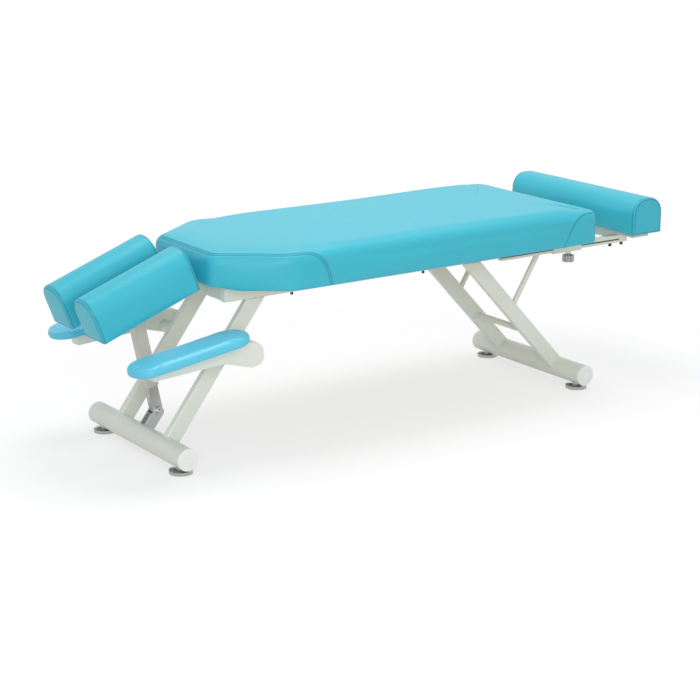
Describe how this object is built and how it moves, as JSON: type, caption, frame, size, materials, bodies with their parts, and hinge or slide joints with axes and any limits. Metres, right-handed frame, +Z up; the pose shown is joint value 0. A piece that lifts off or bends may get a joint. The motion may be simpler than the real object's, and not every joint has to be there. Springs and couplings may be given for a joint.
{
  "type": "massage bed",
  "caption": "Low padded treatment bed with tapered cushion, split tilting head section on a telescoping strut, armrests, sliding foot bolster and splayed tube legs",
  "frame": {"origin": "on the floor under the middle of the whole bed", "axes": "+X towards the foot end, -X the head end, +Y the left side, +Z up"},
  "size_m": [1.8344, 0.57, 0.5746],
  "materials": {
    "vinyl": "satin vinyl over foam",
    "board": "painted plywood",
    "chrome": "polished",
    "bar_steel": "plain steel",
    "black_steel": "black oxide",
    "cap_plastic": "moulded",
    "frame_paint": "ivory powder coat"
  },
  "bodies": {
    "frame": {"arm_mount_left": "frame_paint", "arm_mount_right": "frame_paint", "cushion_bolt_foot_left": "black_steel", "cushion_bolt_foot_right": "black_steel", "cushion_bolt_head_left": "black_steel", "cushion_bolt_head_right": "black_steel", "foot_base_tube": "frame_paint", "foot_cap_left": "cap_plastic", "foot_cap_right": "cap_plastic", "foot_cross_tube": "frame_paint", "foot_crossbar": "frame_paint", "foot_leg_cross_tube": "frame_paint", "foot_leg_left": "frame_paint", "foot_leg_right": "frame_paint", "foot_stay_left": "frame_paint", "foot_stay_right": "frame_paint", "head_base_tube": "frame_paint", "head_cap_left": "cap_plastic", "head_cap_right": "cap_plastic", "head_cross_tube": "frame_paint", "head_leg_cross_tube": "frame_paint", "head_leg_left": "frame_paint", "head_leg_right": "frame_paint", "hinge_ear_left": "frame_paint", "hinge_ear_right": "frame_paint", "hinge_pin": "chrome", "main_board": "board", "main_cushion": "vinyl", "side_rail_left": "frame_paint", "side_rail_right": "frame_paint", "slide_guide_left": "frame_paint", "slide_guide_right": "frame_paint", "strut_clevis": "chrome"},
    "head": {"head_cushion_left": "vinyl", "head_cushion_right": "vinyl", "head_board_left": "board", "head_board_right": "board", "head_fork": "frame_paint"},
    "strut_lower": {"strut_bar": "bar_steel"},
    "strut_upper": {"strut_sleeve": "frame_paint"},
    "slide": {"slide_bar_left": "frame_paint", "slide_bar_right": "frame_paint", "slide_cross_bar": "frame_paint", "bolster_board": "board", "foot_bolster": "vinyl", "slide_bolt_head_left": "black_steel", "slide_bolt_head_right": "black_steel", "slide_bolt_foot_left": "black_steel", "slide_bolt_foot_right": "black_steel"},
    "knob": {"lock_knob": "chrome"},
    "armrest_left": {"arm_bracket_left": "frame_paint", "arm_pad_left": "vinyl"},
    "head_levelling_left": {"head_levelling_foot_left": "chrome"},
    "foot_levelling_left": {"foot_levelling_foot_left": "chrome"},
    "armrest_right": {"arm_bracket_right": "frame_paint", "arm_pad_right": "vinyl"},
    "head_levelling_right": {"head_levelling_foot_right": "chrome"},
    "foot_levelling_right": {"foot_levelling_foot_right": "chrome"}
  },
  "joints": [
    {"name": "head_tilt", "type": "hinge", "parent": "frame", "child": "head", "pos_m": [-0.604, 0, 0.475], "axis": [0, 1, 0], "range_deg": [-61, 40.5]},
    {"name": "strut_swing", "type": "hinge", "parent": "frame", "child": "strut_lower", "pos_m": [-0.6565, 0, 0.107], "axis": [0, 1, 0], "range_deg": [-2.03, 3.06]},
    {"name": "strut_extend", "type": "slide", "parent": "strut_lower", "child": "strut_upper", "axis": [-0.2002, 0, 0.9798], "range_m": [-0.0576, 0.0383]},
    {"name": "bolster_slide", "type": "slide", "parent": "frame", "child": "slide", "axis": [1, 0, 0], "range_m": [-0.113, 0.1]},
    {"name": "lock_knob_turn", "type": "hinge", "parent": "frame", "child": "knob", "pos_m": [0.671, -0.1505, 0.39], "axis": [0, 0, 1], "continuous": true},
    {"name": "armrest_right_tilt", "type": "hinge", "parent": "frame", "child": "armrest_right", "pos_m": [-0.51785, -0.214, 0.284], "axis": [0, 1, 0], "range_deg": [-15, 20]},
    {"name": "head_foot_right_screw", "type": "slide", "parent": "frame", "child": "head_levelling_right", "axis": [0, 0, -1], "range_m": [0, 0.012]},
    {"name": "foot_foot_right_screw", "type": "slide", "parent": "frame", "child": "foot_levelling_right", "axis": [0, 0, -1], "range_m": [0, 0.012]},
    {"name": "armrest_left_tilt", "type": "hinge", "parent": "frame", "child": "armrest_left", "pos_m": [-0.51785, 0.214, 0.284], "axis": [0, 1, 0], "range_deg": [-15, 20]},
    {"name": "head_foot_left_screw", "type": "slide", "parent": "frame", "child": "head_levelling_left", "axis": [0, 0, -1], "range_m": [0, 0.012]},
    {"name": "foot_foot_left_screw", "type": "slide", "parent": "frame", "child": "foot_levelling_left", "axis": [0, 0, -1], "range_m": [0, 0.012]}
  ],
  "couplings": [
    {"joint": "strut_swing", "follows": "head_tilt", "ratio": -0.05},
    {"joint": "strut_extend", "follows": "head_tilt", "m_per_rad": 0.054}
  ]
}
